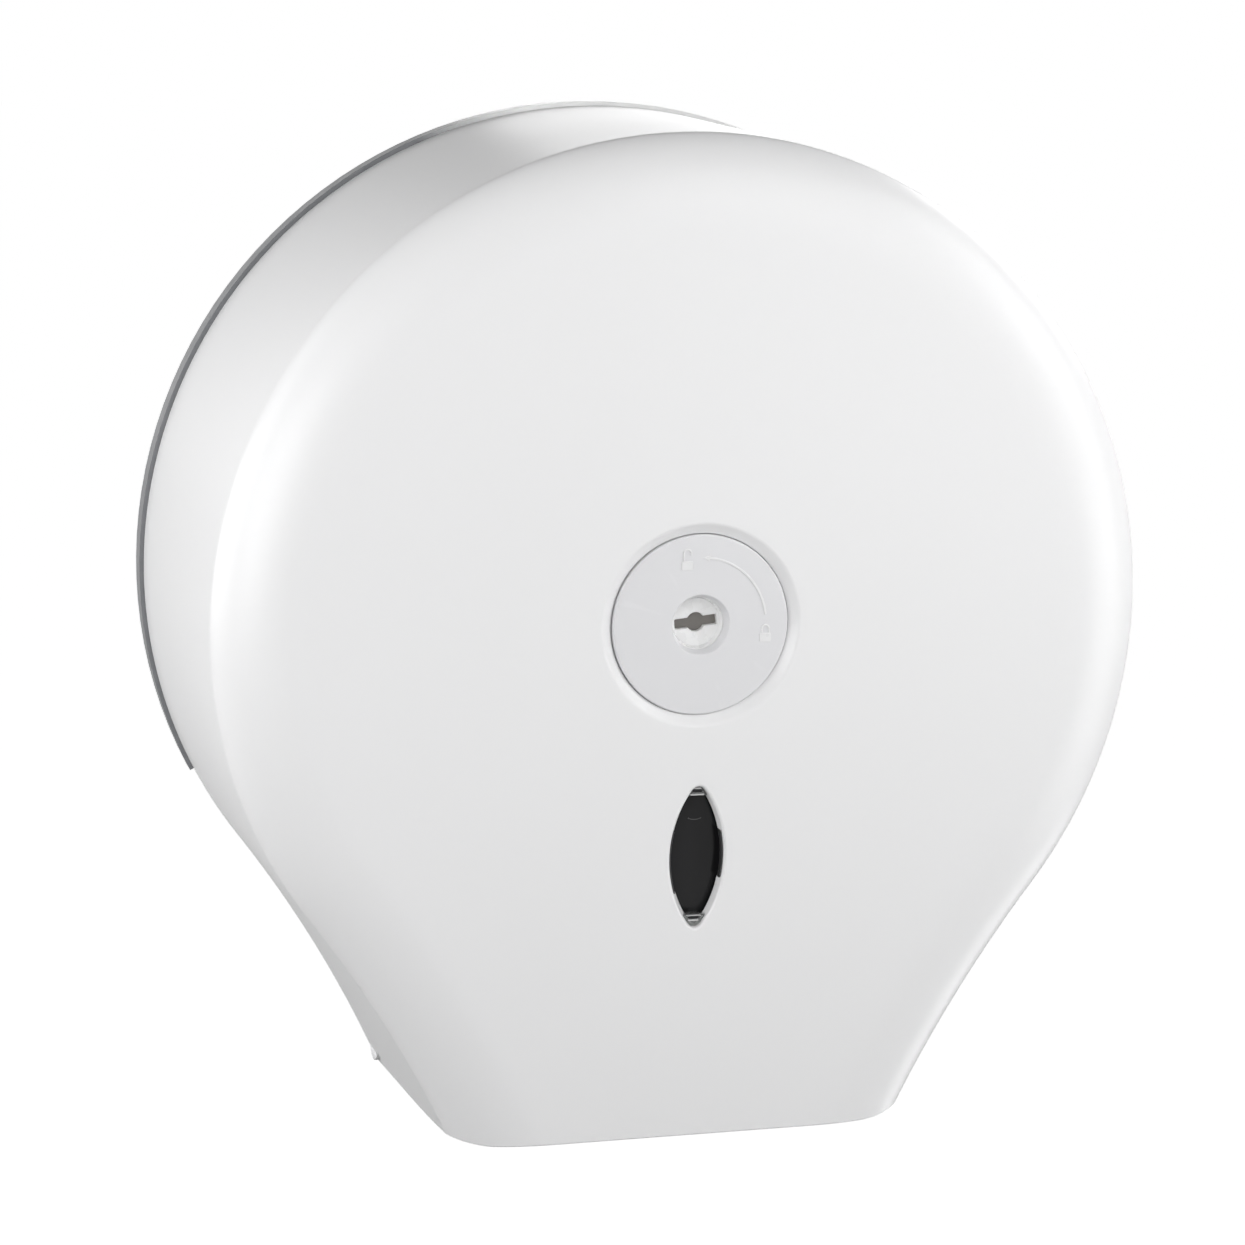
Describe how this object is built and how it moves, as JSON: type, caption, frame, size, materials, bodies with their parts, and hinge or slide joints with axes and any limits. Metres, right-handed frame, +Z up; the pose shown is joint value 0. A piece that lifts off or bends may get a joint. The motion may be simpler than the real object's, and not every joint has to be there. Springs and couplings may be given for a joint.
{
  "type": "jumbo toilet roll dispenser",
  "caption": "Wall dispenser for a jumbo toilet roll: round body with a narrower paper outlet, a locked cover that swings down, and a turning roll carrier inside.",
  "frame": {"origin": "on the wall, behind the axis of the roll spindle", "axes": "+Z up, +Y into the wall, so the front faces -Y; +X to the right as seen from the front"},
  "size_m": [0.2744, 0.122, 0.2933],
  "materials": {
    "cover_plastic": "glossy white ABS",
    "grey_plastic": "fine matte grey ABS",
    "white_plastic": "satin white ABS",
    "light_plastic": "satin light grey ABS",
    "disc_plastic": "satin light grey plastic",
    "dark_plastic": "dull brown-grey plastic",
    "smoked_window": "clear smoke-tinted plastic",
    "steel": "zinc plated steel",
    "spring_steel": "spring steel",
    "bright_steel": "stainless steel sheet"
  },
  "bodies": {
    "wall_unit": {"back_plate": "grey_plastic", "spindle": "grey_plastic", "spindle_screws": "steel", "spindle_cap": "white_plastic", "cap_screws": "steel", "catch_clip": "spring_steel", "clip_screw": "steel", "hinge_pin_left": "steel", "hinge_pin_right": "steel"},
    "cover": {"front_cover": "cover_plastic", "view_window": "smoked_window", "lock_face_disc": "disc_plastic", "lock_housing": "white_plastic", "lock_housing_screws": "steel", "tear_bar_left": "bright_steel", "tear_bar_right": "bright_steel", "tear_bar_screws": "steel"},
    "roll_carrier": {"roll_sleeve": "white_plastic", "core_adapter": "light_plastic"},
    "lock": {"lock_barrel": "white_plastic", "lock_spring": "spring_steel", "lock_shaft": "white_plastic", "lock_cam": "grey_plastic", "lock_cam_screw": "steel"},
    "plunger": {"lock_plunger": "dark_plastic"}
  },
  "joints": [
    {"name": "cover_hinge", "type": "hinge", "parent": "wall_unit", "child": "cover", "pos_m": [0, -0.017, -0.147], "axis": [1, 0, 0], "range_deg": [0, 98], "deforming": ["catch_clip"]},
    {"name": "roll_spin", "type": "hinge", "parent": "wall_unit", "child": "roll_carrier", "pos_m": [0, -0.05, 0], "axis": [0, 1, 0], "continuous": true},
    {"name": "lock_turn", "type": "hinge", "parent": "cover", "child": "lock", "pos_m": [0, -0.11, 0], "axis": [0, -1, 0], "range_deg": [0, 90]},
    {"name": "plunger_slide", "type": "slide", "parent": "lock", "child": "plunger", "axis": [0, 1, 0], "range_m": [0, 0.003], "stiffness_N_per_m": 150, "springref_m": -0.001, "deforming": ["lock_spring"]}
  ]
}
